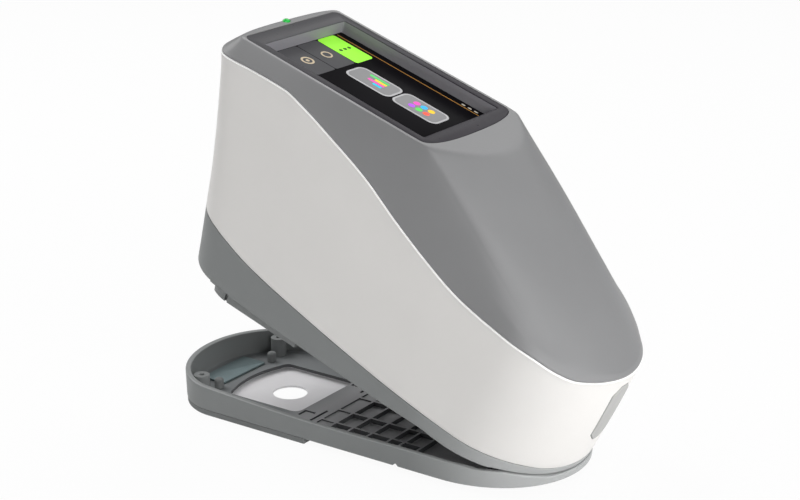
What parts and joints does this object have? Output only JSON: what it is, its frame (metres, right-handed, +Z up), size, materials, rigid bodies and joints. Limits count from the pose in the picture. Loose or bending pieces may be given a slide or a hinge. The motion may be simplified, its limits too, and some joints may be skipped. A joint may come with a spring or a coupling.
{
  "type": "spectrodensitometer",
  "caption": "Press-to-measure spectrodensitometer: tall instrument head with a touch display, hinged at its nose to a low base with a target window, standing sprung open.",
  "frame": {"origin": "middle of the base's length and width on the table, at the height of the sole", "axes": "+Z up, +Y towards the tall rear end that opens, X across the instrument, X = 0 its plane of symmetry"},
  "size_m": [0.072, 0.1945, 0.1539],
  "materials": {
    "white_plastic": "satin moulded white",
    "cover_grey_plastic": "fine-textured mid grey",
    "shell_grey_plastic": "fine-textured grey",
    "dark_plastic": "dark moulded",
    "grey_rubber": "soft grey rubber",
    "frosted_window": "frosted pale plate",
    "steel": "plain steel",
    "bezel_panel": "smooth dark grey panel",
    "screen_glass": "black touch panel over the display",
    "lens_glass": "clear lens",
    "board_green": "circuit board",
    "chip_black": "moulded package",
    "lamp_white": "pale moulding",
    "status_green": "clear green light",
    "battery_blue": "wrapped cell",
    "black_anodised": "black anodised",
    "aluminium": "plain sheet",
    "flat_cable": "amber flat cable"
  },
  "bodies": {
    "base": {"base_shell": "shell_grey_plastic", "front_foot": "grey_rubber", "hinge_clip_left": "steel", "hinge_clip_right": "steel", "hinge_pin": "steel", "hinge_spring_left": "steel", "hinge_spring_right": "steel", "sole_pad": "grey_rubber", "stop_post_left": "grey_rubber", "stop_post_right": "grey_rubber", "strike_plate": "steel", "target_window": "frosted_window", "window_screw_1": "steel", "window_screw_2": "steel", "window_screw_3": "steel", "window_screw_4": "steel"},
    "head": {"aperture_ring": "dark_plastic", "battery_cradle": "dark_plastic", "battery_pack": "battery_blue", "belly_cover": "shell_grey_plastic", "board_screw_1": "steel", "board_screw_2": "steel", "bracket_screw_1": "steel", "bracket_screw_2": "steel", "buzzer": "chip_black", "chassis_frame": "aluminium", "chassis_screw_1": "steel", "chassis_screw_2": "steel", "chassis_screw_3": "steel", "chassis_screw_4": "steel", "detector_board": "board_green", "display_bezel": "bezel_panel", "display_cable": "flat_cable", "display_frame": "dark_plastic", "hinge_bracket_left": "aluminium", "hinge_bracket_right": "aluminium", "latch_magnet": "steel", "lcd_module": "aluminium", "led_board": "board_green", "light_ring_board": "board_green", "lower_shell": "shell_grey_plastic", "main_board": "board_green", "objective_lens": "lens_glass", "optics_barrel": "black_anodised", "optics_screw_1": "steel", "optics_screw_2": "steel", "port_board": "board_green", "port_tray": "dark_plastic", "power_switch": "chip_black", "side_shell": "white_plastic", "spectro_block": "black_anodised", "status_led": "status_green", "top_cover": "cover_grey_plastic", "touch_panel": "screen_glass", "trigger_switch": "chip_black", "usb_socket": "aluminium"},
    "port_cover": {"port_cover": "white_plastic"},
    "trigger": {"trigger_plunger": "dark_plastic"},
    "switch_knob": {"switch_knob": "lamp_white"}
  },
  "joints": [
    {"name": "head_hinge", "type": "hinge", "parent": "base", "child": "head", "pos_m": [0, -0.0665, 0.00855], "axis": [-1, 0, 0], "range_deg": [0, 19.2], "stiffness_Nm_per_rad": 0.8, "springref_deg": -57.3},
    {"name": "port_cover_hinge", "type": "hinge", "parent": "head", "child": "port_cover", "pos_m": [0, -0.09323, 0.01698], "axis": [1, 0, 0], "range_deg": [0, 95]},
    {"name": "trigger_slide", "type": "slide", "parent": "head", "child": "trigger", "axis": [0, -0.3289, 0.9444], "range_m": [0, 0.0015], "stiffness_N_per_m": 200, "springref_m": -0.0015},
    {"name": "power_switch_slide", "type": "slide", "parent": "head", "child": "switch_knob", "axis": [0, -0.3289, 0.9444], "range_m": [0, 0.003]}
  ]
}
